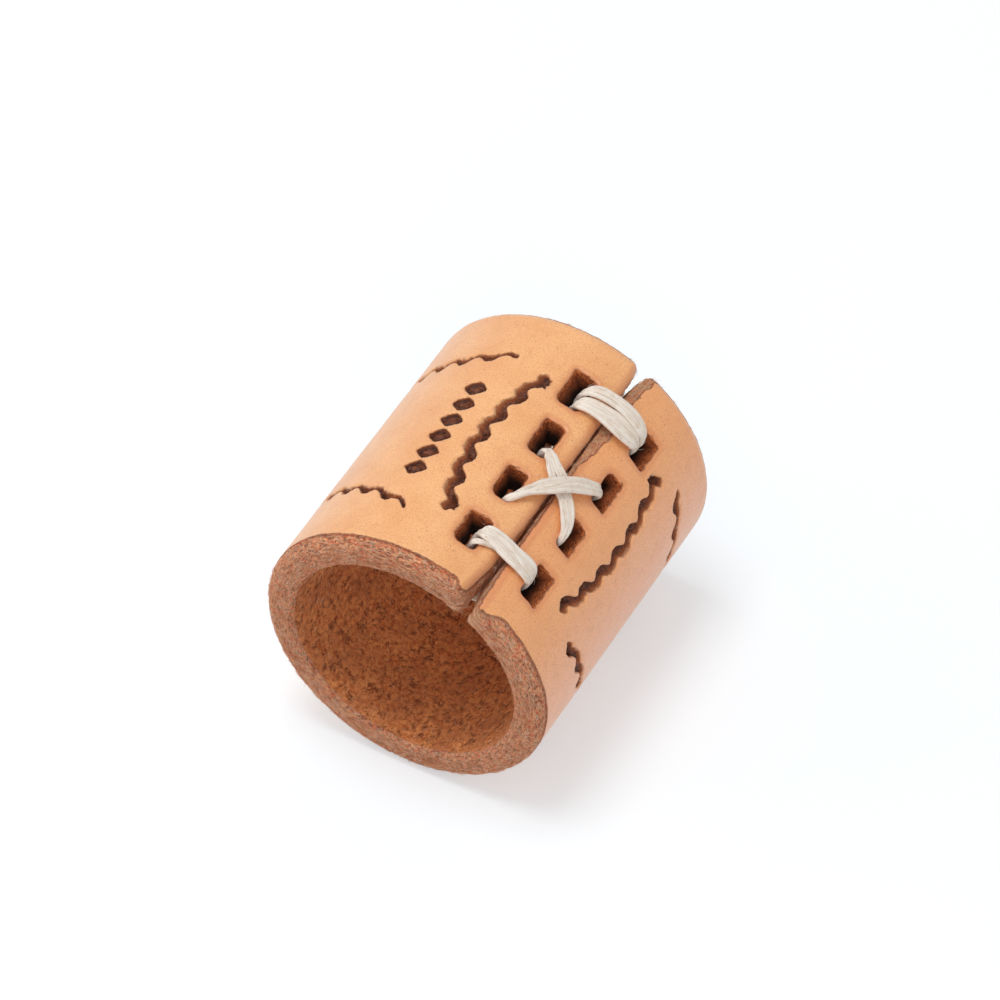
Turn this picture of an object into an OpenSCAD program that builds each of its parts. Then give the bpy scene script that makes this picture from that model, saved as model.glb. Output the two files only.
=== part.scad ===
// Neckerchief slide: one strip of thick vegetable-tanned leather, rolled into an open sleeve and laced
// along its seam with a doubled waxed thread. The sleeve lies along Y and rests on the plane Z = 0.

/* [Sleeve] */
// Outer diameter of the rolled sleeve
sleeve_d = 30; // [25:0.5:40]
// Length of the sleeve along its axis
sleeve_l = 34; // [28:0.5:44]
// Thickness of the leather
leather_t = 3.2; // [2.4:0.1:4]
// Radius of the burnished edges at both ends
edge_round = 0.9; // [0.3:0.1:1.1]

/* [Seam] */
// Angle of the seam from the top of the sleeve
seam_turn = 31; // [0:1:60]
// Width of the gap between the two lips, along the outer surface
seam_gap = 0.7; // [0.4:0.1:1.2]
// Width of the skived cut on the outer corner of the second lip
skive_w = 0.8; // [0.3:0.1:1]
// Depth of that skived cut
skive_depth = 2; // [1:0.1:2.2]
// Radius of the four corners of the strip
corner_r = 1.7; // [0.8:0.1:2.4]

/* [Lacing slots] */
// Width of a slot, across the seam
slot_w = 2.2; // [2:0.1:3]
// Length of a slot, along the seam
slot_l = 4; // [4:0.1:5]
// Radius of the two rounded corners of a slot
slot_round = 0.8; // [0.3:0.1:0.9]
// Distance from the seam to the middle of a slot, along the outer surface
slot_side = 4.1; // [3.4:0.1:5]
// Distance between neighbouring rows of slots
row_pitch = 6.7; // [5.5:0.1:8.1]
// Place of the middle of the four rows along the sleeve
row_middle = -0.2; // [-1:0.1:1]

/* [Lacing thread] */
// Thickness of the doubled thread where it dives through a slot
thread_d = 1.1; // [0.8:0.05:1.35]
// Thickness of the doubled thread where it lies flat
flat_t = 0.75; // [0.6:0.05:0.9]
// Width of a pass across the seam, where the strands spread out
bar_w = 2; // [1.4:0.1:2.1]
// Width of a leg of the cross
leg_w = 1.45; // [1.1:0.05:1.6]
// Width across the knot inside the sleeve
knot_w = 3.2; // [2.8:0.1:3.6]

/* [Hidden] */

clearance = 0.1;         // between the thread and the leather
leather_colour = [0.93, 0.71, 0.49];
thread_colour = [0.88, 0.86, 0.82];
knot_colour = [0.84, 0.81, 0.76];

outer_r = sleeve_d / 2;
inner_r = outer_r - leather_t;
gap_angle = seam_gap / outer_r * 180 / PI;
rows = [for (i = [0:3]) row_middle + (i - 1.5) * row_pitch];

// The wall's section, drawn at its radius, with an arc at each of its corners.
module wall_section() {
    corners = [
        [outer_r - edge_round, sleeve_l / 2 - edge_round, 0],
        [inner_r + edge_round, sleeve_l / 2 - edge_round, 90],
        [inner_r + edge_round, -sleeve_l / 2 + edge_round, 180],
        [outer_r - edge_round, -sleeve_l / 2 + edge_round, 270]
    ];
    polygon([for (c = corners) for (a = [0:18:90])
        [c[0] + edge_round * cos(c[2] + a), c[1] + edge_round * sin(c[2] + a)]]);
}

// Turns a child from the seam's frame to its place: X runs round the surface, Y along the sleeve and
// Z outwards from the axis. The turn is a length along the outer surface, counted from the seam.
module at_surface(along_surface) {
    translate([0, 0, outer_r])
        rotate([0, seam_turn + along_surface / outer_r * 180 / PI, 0])
            children();
}

// A slot's outline: its end towards -Y has rounded corners, as the punch leaves it.
module slot_outline() {
    half_w = slot_w / 2;
    half_l = slot_l / 2;
    round_x = half_w - slot_round;
    round_y = -half_l + slot_round;
    polygon(concat(
        [[half_w, half_l], [-half_w, half_l]],
        [for (a = [180:18:270]) [-round_x + slot_round * cos(a), round_y + slot_round * sin(a)]],
        [for (a = [270:18:360]) [round_x + slot_round * cos(a), round_y + slot_round * sin(a)]]
    ));
}

module lacing_slots() {
    for (side = [-1, 1]) for (y = rows)
        at_surface(side * slot_side)
            translate([0, y, inner_r - 1])
                linear_extrude(leather_t + 2) slot_outline();
}

// What the rounded corners of the strip leave open at both ends of the seam.
module strip_corners() {
    for (side = [-1, 1]) for (end = [-1, 1])
        at_surface(side * seam_gap / 2)
            mirror([side < 0 ? 1 : 0, 0, 0]) mirror([0, end > 0 ? 1 : 0, 0])
                translate([0, -sleeve_l / 2, inner_r - 1])
                    linear_extrude(leather_t + 2)
                        polygon(concat([[-0.5, -1], [-0.5, corner_r], [0, corner_r]],
                            [for (a = [180:15:270]) corner_r * [1 + cos(a), 1 + sin(a)]],
                            [[corner_r, -1]]));
}

// The skived cut slopes down from the outer surface of the second lip into the gap.
module skived_cut() {
    at_surface(seam_gap / 2)
        translate([0, sleeve_l / 2 + 1, outer_r])
            rotate([90, 0, 0])
                linear_extrude(sleeve_l + 2)
                    polygon([[-1, -skive_depth], [0, -skive_depth], [skive_w, 0.2], [-1, 0.2]]);
}

module leather_sleeve() {
    color(leather_colour)
        difference() {
            translate([0, 0, outer_r])
                rotate([-90, 0, 0])
                    rotate([0, 0, seam_turn - 90 + gap_angle / 2])
                        rotate_extrude(angle = 360 - gap_angle, $fn = 96) wall_section();
            lacing_slots();
            strip_corners();
            skived_cut();
        }
}

// A point of the thread's route is [around, along, height, lateral angle, half width, half thickness].
// "Around" is counted from the seam along the outer surface, and height from that surface.
bend_r = thread_d / 2 + clearance;
column = slot_side - slot_w / 2 + bend_r;      // where the thread dives, against the slot's edge
flat_half = flat_t / 2;
round_half = thread_d / 2;
outside = clearance + flat_half;                 // height of a flat run on the outer surface
inside = -leather_t - clearance - flat_half;     // and of one under the inner surface

function reversed(list) = [for (i = [len(list) - 1:-1:0]) list[i]];

// A quarter turn from a slot to a run that leaves it in direction a. Face is 1 outside, -1 inside.
function bend(around, along, a, half_w, face) = [
    for (f = [0, 30, 60, 90]) let (out = bend_r * (1 - cos(f)), spread = f / 90)
        [around + out * cos(a), along + out * sin(a),
         (face > 0 ? 0 : -leather_t) + face * bend_r * sin(f), a + 90,
         round_half + (half_w - round_half) * spread,
         round_half + (flat_half - round_half) * spread]
];

// Up through a slot: from the run inside, in direction a_in from the slot, to the one outside.
function rise(around, along, a_in, a_out, w_out) = concat(
    reversed(bend(around, along, a_in, leg_w / 2, -1)),
    bend(around, along, a_out, w_out / 2, 1)
);
function dive(around, along, a_in, a_out, w_out) = reversed(rise(around, along, a_in, a_out, w_out));

// A pass across the seam from the left slot to the right one, on the outer surface.
function bar(y) = [for (x = [-0.6, 0, 0.6]) [x * column, y, outside, 90, bar_w / 2, flat_half]];

// A leg of the cross between two points, its middle lifted by lift over what it crosses.
function leg(from, to, lift) = let (a = atan2(to[1] - from[1], to[0] - from[0])) [
    for (t = [0.3, 0.4, 0.5, 0.6, 0.7]) let (p = from + (to - from) * t)
        [p[0], p[1], outside + lift * max(0, 1 - pow((t - 0.5) / 0.25, 2)), a + 90, leg_w / 2, flat_half]
];

near_bar = rows[0] + 0.8;
far_bar_1 = rows[3] - 0.95;
far_bar_2 = rows[3] + 1.15;
left_2 = [-column, rows[1] - 1.2];      // the ends of the leg that lies on top
right_3 = [column, rows[2] - 0.4];
right_2 = [column, rows[1] - 0.8];      // the ends of the leg that lies under it
left_3 = [-column, rows[2] - 1.3];
knot = [-0.3, rows[0] - 2.6];
knot_depth = inside - 0.35;
knot_end_gap = 0.55;                    // from the knot's middle to each of the two ends in it
top_angle = atan2(right_3[1] - left_2[1], 2 * column);
under_angle = atan2(left_3[1] - right_2[1], -2 * column);
knot_to_first = atan2(near_bar - knot[1], -column - knot[0]);
knot_to_last = atan2(left_2[1] - knot[1], left_2[0] - knot[0]);

// Tail, knot, near pass, lower leg, two far passes with their return inside, upper leg, knot, tail.
route = concat(
    [[knot[0] + 2.2, knot[1] - 1.7, inside, -45, 0.45, flat_half],
     [knot[0] + 0.3, knot[1] - knot_end_gap, knot_depth, -15, 0.45, flat_half],
     [knot[0] - 1.6, knot[1] + 0.5, inside, knot_to_first - 90, 0.5, flat_half]],
    rise(-column, near_bar, knot_to_first + 180, 0, bar_w),
    bar(near_bar),
    dive(column, near_bar, 90, 180, bar_w),
    rise(right_2[0], right_2[1], -90, under_angle, leg_w),
    leg(right_2, left_3, 0),
    dive(left_3[0], left_3[1], 90, under_angle + 180, leg_w),
    rise(-column, far_bar_1, -90, 0, bar_w),
    bar(far_bar_1),
    dive(column, far_bar_1, 180, 180, bar_w),
    rise(-column, far_bar_2, 0, 0, bar_w),
    bar(far_bar_2),
    dive(column, far_bar_2, -15, 180, bar_w),
    [[column + 1.9, far_bar_1, inside, 180, leg_w / 2, flat_half],
     [column + 1.2, far_bar_1 - 3, inside, 180, leg_w / 2, flat_half]],
    rise(right_3[0], right_3[1], 75, top_angle + 180, leg_w),
    leg(right_3, left_2, flat_t + clearance),
    dive(left_2[0], left_2[1], knot_to_last + 180, top_angle, leg_w),
    [[knot[0] - 0.2, knot[1] + knot_end_gap, knot_depth, 15, 0.45, flat_half],
     [knot[0] + 1.6, knot[1] - 0.2, inside - 0.1, 45, 0.45, flat_half]]
);

// The route's frame at a point: outwards and round directions, then the point itself.
function turn_at(p) = seam_turn + p[0] / outer_r * 180 / PI;
function outwards(p) = [sin(turn_at(p)), 0, cos(turn_at(p))];
function round_way(p) = [cos(turn_at(p)), 0, -sin(turn_at(p))];
function place(p) = [0, p[1], outer_r] + (outer_r + p[2]) * outwards(p);
function unit(v) = v / norm(v);
function heading(list, i) = unit(place(list[min(i + 1, len(list) - 1)]) - place(list[max(i - 1, 0)]));

// The thread's wide direction at each point, square to its heading, never flipped between two points.
function wide_way(p, h) = let (w = cos(p[3]) * round_way(p) + sin(p[3]) * [0, 1, 0]) unit(w - (w * h) * h);
function wide_ways(list, i, last) = i >= len(list) ? [] :
    let (w = wide_way(list[i], heading(list, i)), kept = w * last < 0 ? -w : w)
    concat([kept], wide_ways(list, i + 1, kept));

sides = 8;
module swept(list) {
    wide = wide_ways(list, 0, wide_way(list[0], heading(list, 0)));
    points = [for (i = [0:len(list) - 1]) let (p = list[i], up = cross(heading(list, i), wide[i]))
        for (k = [0:sides - 1]) let (a = (k + 0.5) * 360 / sides)
            place(p) + (p[4] * cos(a) * wide[i] + p[5] * sin(a) * up) / cos(180 / sides)];
    skin = [for (i = [0:len(list) - 2]) for (k = [0:sides - 1]) let (n = (k + 1) % sides)
        [i * sides + k, (i + 1) * sides + k, (i + 1) * sides + n, i * sides + n]];
    triangles = [for (f = skin) each [[f[0], f[1], f[2]], [f[0], f[2], f[3]]]];
    first = [for (k = [0:sides - 1]) k];
    final = [for (k = [sides - 1:-1:0]) (len(list) - 1) * sides + k];
    polyhedron(points = points, faces = concat([first], triangles, [final]));
}

module lacing_thread() {
    color(thread_colour) swept(route);
}

// The two ends are tied in a flat knot under the seam, inside the near end of the sleeve.
module lacing_knot() {
    knot_t = flat_t + 0.6;
    color(knot_colour)
        at_surface(knot[0])
            translate([0, knot[1], outer_r + knot_depth])
                rotate_extrude($fn = 48)
                    union() {
                        translate([knot_w / 2 - knot_t / 2, 0]) circle(d = knot_t, $fn = 32);
                        translate([0, -knot_t / 2]) square([knot_w / 2 - knot_t / 2, knot_t]);
                    }
}

leather_sleeve();
lacing_thread();
lacing_knot();
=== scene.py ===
# %% [markdown]
# # A laced leather neckerchief slide
# A strip of thick vegetable-tanned leather is cut, punched and tooled while it lies flat. Then it is
# rolled into a sleeve and laced shut along the seam with a doubled, waxed thread.
# This script works in the same order as the bench: a flat strip, its holes, its tool marks, the roll,
# the lacing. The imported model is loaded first, because it says how big everything is and where it lies.

# %% Load the frame
import math
from collections import Counter
import bpy
import numpy as np
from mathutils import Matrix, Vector, noise


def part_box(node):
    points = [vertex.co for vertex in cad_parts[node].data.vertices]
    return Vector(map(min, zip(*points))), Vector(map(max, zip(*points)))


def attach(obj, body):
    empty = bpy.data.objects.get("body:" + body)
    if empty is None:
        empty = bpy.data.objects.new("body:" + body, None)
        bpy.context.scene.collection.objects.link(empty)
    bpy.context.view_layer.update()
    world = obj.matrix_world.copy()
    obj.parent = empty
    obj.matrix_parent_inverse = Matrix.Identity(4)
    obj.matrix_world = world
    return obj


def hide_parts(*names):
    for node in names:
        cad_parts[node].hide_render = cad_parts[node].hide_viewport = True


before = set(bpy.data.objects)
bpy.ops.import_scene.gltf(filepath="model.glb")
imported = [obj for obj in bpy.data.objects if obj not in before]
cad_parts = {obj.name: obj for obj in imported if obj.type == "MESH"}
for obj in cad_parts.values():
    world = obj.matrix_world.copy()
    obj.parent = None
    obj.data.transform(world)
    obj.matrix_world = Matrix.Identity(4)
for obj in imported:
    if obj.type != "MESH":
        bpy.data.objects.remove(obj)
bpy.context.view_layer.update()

MM = 0.001
sleeve_low, sleeve_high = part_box("leather_sleeve")
print("sleeve box in mm:", [round(c / MM, 2) for c in sleeve_high - sleeve_low])

# %% [markdown]
# ## Camera
# The sleeve lies on its side, so a long lens from above and a little to the right shows the seam, the
# lacing and the near mouth at once. A long lens keeps the two mouths nearly the same size. The camera
# comes first, because every later look is judged through it.

# %% Camera
CAMERA_AZIMUTH = math.radians(29.19)
CAMERA_ELEVATION = math.radians(48.53)
CAMERA_DISTANCE = 515.9 * MM
CAMERA_LENS = 194.2
AIM_RIGHT, AIM_UP = 1.04, 4.19      # mm from the sleeve's axis, as the camera sees it
OUTER_RADIUS = round((sleeve_high.z - sleeve_low.z) / 2 / MM, 1) * MM
axis_point = Vector((0, 0, OUTER_RADIUS))
towards_camera = Vector((
    math.sin(CAMERA_AZIMUTH) * math.cos(CAMERA_ELEVATION),
    -math.cos(CAMERA_AZIMUTH) * math.cos(CAMERA_ELEVATION),
    math.sin(CAMERA_ELEVATION)))
camera_right = Vector((math.cos(CAMERA_AZIMUTH), math.sin(CAMERA_AZIMUTH), 0))
camera_up = towards_camera.cross(camera_right)
camera_place = axis_point + towards_camera * CAMERA_DISTANCE
aim = axis_point + camera_right * AIM_RIGHT * MM + camera_up * AIM_UP * MM

bpy.ops.object.camera_add(location=camera_place)
camera = bpy.context.object
camera.rotation_euler = (aim - camera_place).to_track_quat("-Z", "Y").to_euler()
camera.data.lens = CAMERA_LENS
camera.data.sensor_width = 36
camera.data.clip_start = 0.01
bpy.context.scene.camera = camera
print("camera stands", round((camera_place - aim).length / MM), "mm away")

# %% [markdown]
# ## The bench's measures
# On the flat strip, x runs round the sleeve, y along it and z is the thickness, with the smooth grain
# side at z = 0. A place is easiest to give by its distance from the seam, so one function turns that into
# x: the seam is where the two short ends of the strip meet, and the middle of the strip ends up opposite.

# %% Flat measures
SLEEVE_LENGTH = round((sleeve_high.y - sleeve_low.y) / MM, 1)
RADIUS = OUTER_RADIUS / MM
THICKNESS = 3.2
SEAM_GAP = 0.7
SEAM_TURN = math.radians(31)
STRIP_LENGTH = 2 * math.pi * RADIUS - SEAM_GAP
HALF_STRIP = STRIP_LENGTH / 2
HALF_WIDTH = SLEEVE_LENGTH / 2
ROWS = [-10.25, -3.55, 3.15, 9.85]


def from_seam(distance):
    """Strip x of a place that many mm round from the seam, less than 0 on its left-hand side."""
    edge = HALF_STRIP + SEAM_GAP / 2
    return np.where(np.asarray(distance) < 0, edge + distance, distance - edge)


def smooth_step(low, high, value):
    """0 below low, 1 above high and a soft S between them."""
    t = np.clip((value - low) / (high - low), 0, 1)
    return t * t * (3 - 2 * t)


def flat_noise(points, size, seed=0.0):
    """Perlin noise from about -1 to 1 at points in mm, with lumps about size mm across."""
    shift = Vector((seed * 17.3, seed * 5.1, seed * 9.7))
    return np.array([noise.noise(Vector(p) / size + shift) for p in points])


print("strip is", round(STRIP_LENGTH, 2), "by", SLEEVE_LENGTH, "mm")

# %% [markdown]
# ## Where the tool marks go
# Two wavy lines run along the sleeve beside the lacing, and two run round it near its ends. Each was cut
# with a gouge that leaves one crisp wall and one slope that fades out. The crisp wall lies towards the
# seam on the short lines, and on the same side of both long ones. A wavy line is a sine on top of a
# gentle bow, so it is written as a formula, and the same formula later places the fine faces, the depth
# and the dark burnish, which is painted darker with depth as shade in the grooves.

# %% Wavy lines
WAVE_PERIOD = 2.86
WAVE_HEIGHT = 0.36
SHORT_REACH = 9.6                   # where the short lines begin to end, from the middle of the sleeve
LONG_WAVE_HEIGHT = 0.3
LONG_REACH = HALF_STRIP - 10.6      # where the long lines end, from the middle of the strip
GROOVE_DEPTH, STAMP_DEPTH = 0.85, 0.5
DEEPEST_MARK = 0.9
STAMP_PLACE = -12.75                # from the seam
STAMP_COUNT, STAMP_PITCH = 6, 2.3
STAMP_HALF_WIDTH = 1.25


def short_line(y, side):
    """Distance from the seam to the middle of a short wavy line, at height y along the sleeve."""
    bow = 1.9 * (1 - (y / SHORT_REACH) ** 2) + (0.2 if side > 0 else 0.0)
    if side > 0:
        bow = bow + 0.55 * smooth_step(8.5, 9.4, y)
    wave = WAVE_HEIGHT * np.cos((y - 0.1) * 2 * math.pi / WAVE_PERIOD)
    middle = 7.25 if side > 0 else 7.05
    return side * (middle + bow) - side * wave * (0.9 if side > 0 else 1.0)


def long_line(x, end):
    """Height y along the sleeve of the middle of a long wavy line, at strip x."""
    bow = 2.4 * (1 - np.abs(x / LONG_REACH) ** 6)
    wave = LONG_WAVE_HEIGHT * np.sin(x * 2 * math.pi / WAVE_PERIOD)
    return end * (10.9 - bow) + wave


def groove_section(offset, half_width, fade):
    """Depth from 0 to 1 across a groove: a steep wall at -half_width, then a straight slope up and out."""
    steep = smooth_step(-half_width - 0.02, -half_width + 0.13, offset)
    slope = np.clip((half_width + fade - offset) / (1.5 * half_width + fade), 0, 1)
    return steep * slope ** 0.7


def short_grooves(x, y):
    """Depth from 0 to 1 of the two short wavy lines."""
    depth = np.zeros(len(x))
    phase = (y - 0.1) * math.tau / WAVE_PERIOD
    taper = smooth_step(10.1, 9.2, np.abs(y))
    for side in (-1, 1):
        slope = math.tau * WAVE_HEIGHT / WAVE_PERIOD * np.sin(phase)
        from_line = x - from_seam(0.0 * y + side) + side - short_line(y, side)
        offset = side * from_line / np.sqrt(1 + slope ** 2)
        half_width = (0.42 + 0.04 * np.cos(phase)) * taper + 0.02
        section = groove_section(offset, half_width, 0.32 * taper + 0.04)
        struck = (0.8 + 0.2 * np.cos(phase)) * smooth_step(0.1, 0.5, taper)
        depth = np.maximum(depth, np.where(np.abs(offset) < 2, section * struck, 0))
    return depth


def long_grooves(x, y):
    """Depth from 0 to 1 of the two long wavy lines, which go round the back."""
    depth = np.zeros(len(x))
    phase = x * math.tau / WAVE_PERIOD
    taper = smooth_step(LONG_REACH + 0.4, LONG_REACH - 0.6, np.abs(x))
    for end in (-1, 1):
        slope = LONG_WAVE_HEIGHT * math.tau / WAVE_PERIOD * np.cos(phase)
        offset = (y - long_line(x, end)) / np.sqrt(1 + slope ** 2)
        bite = smooth_step(0.2, -0.9, np.sin(phase))
        half_width = (np.where(x < 0, 0.27, 0.2) + 0.15 * bite) * taper + 0.02
        fade = (np.where(x < 0, 0.34, 0.15) + 0.12 * bite) * taper + 0.03
        section = groove_section(offset, half_width, fade)
        struck = (0.85 + 0.15 * bite) * smooth_step(0.1, 0.5, taper)
        depth = np.maximum(depth, np.where(np.abs(offset) < 2, section * struck, 0))
    return depth


def stamps(x, y):
    """Depth from 0 to 1 of six small lozenges, each with a raised seed in the middle."""
    depth = np.zeros(len(x))
    across = (x - from_seam(STAMP_PLACE)) / STAMP_HALF_WIDTH
    for number in range(STAMP_COUNT):
        along = y - (5.55 - STAMP_PITCH * number)
        outline = np.abs(across) ** 1.3 + np.abs(along) ** 1.3
        seed = (across / 0.5) ** 2 + (along / 0.36) ** 2
        pressed = smooth_step(1.06, 0.82, outline) * (1 - 0.5 * smooth_step(1.25, 0.6, seed))
        depth = np.maximum(depth, pressed)
    return depth


print("short wavy lines have", round(2 * SHORT_REACH / WAVE_PERIOD, 1), "waves each")

# %% [markdown]
# ## Punched slots
# Eight slots take the thread. A hand punch never hits twice the same, so each slot has its own width and
# its own small shift, and a different radius at each corner. The distance to the nearest slot's outline is
# all that the later steps need: less than 0 is inside the hole.

# %% Slots
SLOTS = {
    (-1, 0): (3.95, 2.3, 3.8), (-1, 1): (3.8, 2.0, 3.8), (-1, 2): (3.6, 2.0, 4.2), (-1, 3): (3.95, 2.4, 4.2),
    (1, 0): (4.05, 2.1, 3.9), (1, 1): (3.95, 1.9, 3.6), (1, 2): (4.2, 1.9, 3.9), (1, 3): (4.7, 2.2, 3.5),
}


def slot_distance(x, y):
    """Distance in mm from the outline of the nearest slot, negative inside it."""
    nearest = np.full(len(x), 99.0)
    for (side, row), (place, width, length) in SLOTS.items():
        across = x - from_seam(side * place)
        along = y - ROWS[row]
        far_side = across * side > 0
        upper = np.where(far_side, 0.14, 0.5)
        lower = np.where(far_side, 0.25 if side > 0 else 0.8, 0.45)
        corner = np.where(along > 0, upper, lower)
        past_x = np.abs(across) - width / 2 + corner
        past_y = np.abs(along) - length / 2 + corner
        outside = np.hypot(np.maximum(past_x, 0), np.maximum(past_y, 0))
        nearest = np.minimum(nearest, outside + np.minimum(np.maximum(past_x, past_y), 0) - corner)
    return nearest + 0.05 * np.sin(2.3 * x + 1.7 * y) * np.cos(1.9 * y - 0.8 * x)


def slot_outward(x, y):
    """Which way the distance to the nearest slot grows, round the sleeve and along it."""
    step = 0.02
    gap = slot_distance(x, y)
    return (slot_distance(x + step, y) - gap) / step, (slot_distance(x, y + step) - gap) / step


# %% [markdown]
# ## The flat strip
# The strip starts as a grid of half-millimetre faces. Detail is dear, so faces are split only where
# something happens: once or twice near the slots and the rims, and later near the tool marks. The punch
# takes out the faces inside each outline, and the ragged edge it leaves is pulled onto the outline.

# %% Grid, finer faces and punched slots
def only(thing):
    """Selects one object and nothing else."""
    bpy.ops.object.select_all(action="DESELECT")
    thing.select_set(True)
    bpy.context.view_layer.objects.active = thing


def rows_of(items, name):
    """A vector that each of many vertices or faces has, one row each."""
    flat_list = np.empty(len(items) * 3)
    items.foreach_get(name, flat_list)
    return flat_list.reshape(-1, 3)


def face_centres(thing):
    """Centres of an object's faces, in mm."""
    return rows_of(thing.data.polygons, "center") / MM


def vertex_places(thing):
    """Places of an object's vertices, in mm."""
    return rows_of(thing.data.vertices, "co") / MM


def move_vertices(thing, places):
    """Puts an object's vertices at places given in mm."""
    thing.data.vertices.foreach_set("co", (places * MM).ravel())
    thing.data.update()


def edit_faces(thing, chosen):
    """Enters edit mode with only the chosen faces selected."""
    only(thing)
    bpy.context.tool_settings.mesh_select_mode = (False, False, True)
    mesh = thing.data
    mesh.vertices.foreach_set("select", np.zeros(len(mesh.vertices), bool))
    mesh.edges.foreach_set("select", np.zeros(len(mesh.edges), bool))
    mesh.polygons.foreach_set("select", chosen)
    bpy.ops.object.mode_set(mode="EDIT")


def split_faces(thing, chosen):
    """Splits each chosen face into four."""
    edit_faces(thing, chosen)
    bpy.ops.mesh.subdivide(number_cuts=1)
    bpy.ops.object.mode_set(mode="OBJECT")


def rim_distance(x, y):
    """Distance in mm from the strip's outer rim."""
    return np.minimum(HALF_STRIP - np.abs(x), HALF_WIDTH - np.abs(y))


bpy.ops.object.select_all(action="DESELECT")
GRID_STEP = 0.5
bpy.ops.mesh.primitive_grid_add(
    x_subdivisions=round(STRIP_LENGTH / GRID_STEP), y_subdivisions=round(SLEEVE_LENGTH / GRID_STEP), size=1)
leather = bpy.context.object
leather.name = "leather_strip"
bpy.ops.object.mode_set(mode="EDIT")
bpy.ops.transform.resize(value=(STRIP_LENGTH * MM, SLEEVE_LENGTH * MM, 1))
bpy.ops.object.mode_set(mode="OBJECT")
only(leather)
bpy.ops.object.transform_apply(location=True, rotation=True, scale=True)

for slot_reach, rim_reach in ((1.0, 1.3), (0.45, 0.0)):
    centre = face_centres(leather)
    near_slot = np.abs(slot_distance(centre[:, 0], centre[:, 1])) < slot_reach
    near_rim = rim_distance(centre[:, 0], centre[:, 1]) < rim_reach
    split_faces(leather, near_slot | near_rim)

centre = face_centres(leather)
edit_faces(leather, slot_distance(centre[:, 0], centre[:, 1]) < 0)
bpy.ops.mesh.delete(type="FACE")
bpy.ops.object.mode_set(mode="OBJECT")

place = vertex_places(leather)
gap = slot_distance(place[:, 0], place[:, 1])
slope_x, slope_y = slot_outward(place[:, 0], place[:, 1])
faces_beside = Counter(pair for polygon in leather.data.polygons for pair in polygon.edge_keys)
ragged = np.zeros(len(place), bool)
for pair, count in faces_beside.items():
    if count == 1:
        ragged[list(pair)] = True
ragged &= np.abs(gap) < 0.3
place[ragged, 0] -= (gap * slope_x)[ragged]
place[ragged, 1] -= (gap * slope_y)[ragged]
move_vertices(leather, place)
print("punched strip has", len(leather.data.polygons), "faces")
print("slot rims have", int(ragged.sum()), "vertices")

# %% [markdown]
# ## Thickness
# Solidify turns the sheet into a slab and closes every rim and slot with a wall. The walls are one face
# high, too coarse for the torn fibres that show there, so flat cuts slice them into layers. After that
# only the grain side is refined, along the tool marks, and the hidden side stays light.

# %% Solidify, slice the walls and refine the tool marks
only(leather)
thicken = leather.modifiers.new("thickness", "SOLIDIFY")
thicken.thickness = THICKNESS * MM
thicken.offset = -1
bpy.ops.object.modifier_apply(modifier=thicken.name)

WALL_LAYERS = 8
for layer in range(1, WALL_LAYERS):
    height = -THICKNESS * layer / WALL_LAYERS * MM
    bpy.ops.object.mode_set(mode="EDIT")
    bpy.ops.mesh.select_all(action="SELECT")
    bpy.ops.mesh.bisect(plane_co=(0, 0, height), plane_no=(0, 0, 1))
    bpy.ops.object.mode_set(mode="OBJECT")


def near_marks(x, y, reach):
    """True within reach mm of a tool mark's edge."""
    found = np.zeros(len(x), bool)
    for side in (-1, 1):
        off = np.abs(x - from_seam(side * 1.0) + side - short_line(y, side))
        found |= (off < 0.5 + reach) & (np.abs(y) < 10.0 + reach)
    for end in (-1, 1):
        off = np.abs(y - long_line(x, end))
        found |= (off < 0.45 + reach) & (np.abs(x) < HALF_STRIP - 10.3 + reach)
    stamp_x = np.abs(x - from_seam(STAMP_PLACE)) < STAMP_HALF_WIDTH + reach
    stamp_y = np.abs(y + 0.2) < 6.9 + reach
    return found | (stamp_x & stamp_y)


for reach in (0.95, 0.55):
    centre = face_centres(leather)
    on_top = centre[:, 2] > -0.01
    split_faces(leather, on_top & near_marks(centre[:, 0], centre[:, 1], reach))
print("solid strip has", len(leather.data.polygons), "faces")

# %% [markdown]
# ## Rims, lips and relief
# Every rim of the strip was rubbed round, most at the two long rims that become the sleeve's mouths. The
# far half of the seam's right-hand lip was skived, cut thin at a slant, so that its fibres show. The tool
# marks are pressed down from the grain side, and none goes deeper than a set limit. These are all heights
# over a flat sheet, which is why they are made before the strip is rolled.

# %% Round the rims
NEAR_ROUND, FAR_ROUND = 1.35, 1.0
LEFT_LIP_ROUND, RIGHT_LIP_ROUND = 0.95, 0.5
FLESH_ROUNDING = 0.5     # how much of the grain side's rounding the flesh side gets

place = vertex_places(leather)
x, y, z = place.T.copy()
on_grain = z > -0.001
on_flesh = z < -THICKNESS + 0.001
in_wall = ~on_grain & ~on_flesh

corner_radius = np.where(x > 0, np.where(y < 0, 0.9, 0.8), np.where(y < 0, 0.6, 0.5))


def into_corner(x, y):
    """How far a point lies past a corner's centre, both ways and straight, and if it lies in the corner."""
    past_x = np.abs(x) - (HALF_STRIP - corner_radius)
    past_y = np.abs(y) - (HALF_WIDTH - corner_radius)
    return past_x, past_y, np.hypot(past_x, past_y), (past_x > 0) & (past_y > 0)


past_x, past_y, reach, in_corner = into_corner(x, y)
squash = np.where(in_corner, np.maximum(past_x, past_y) / np.maximum(reach, 1e-9), 1)
x += np.sign(x) * past_x * (squash - 1)
y += np.sign(y) * past_y * (squash - 1)

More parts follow.
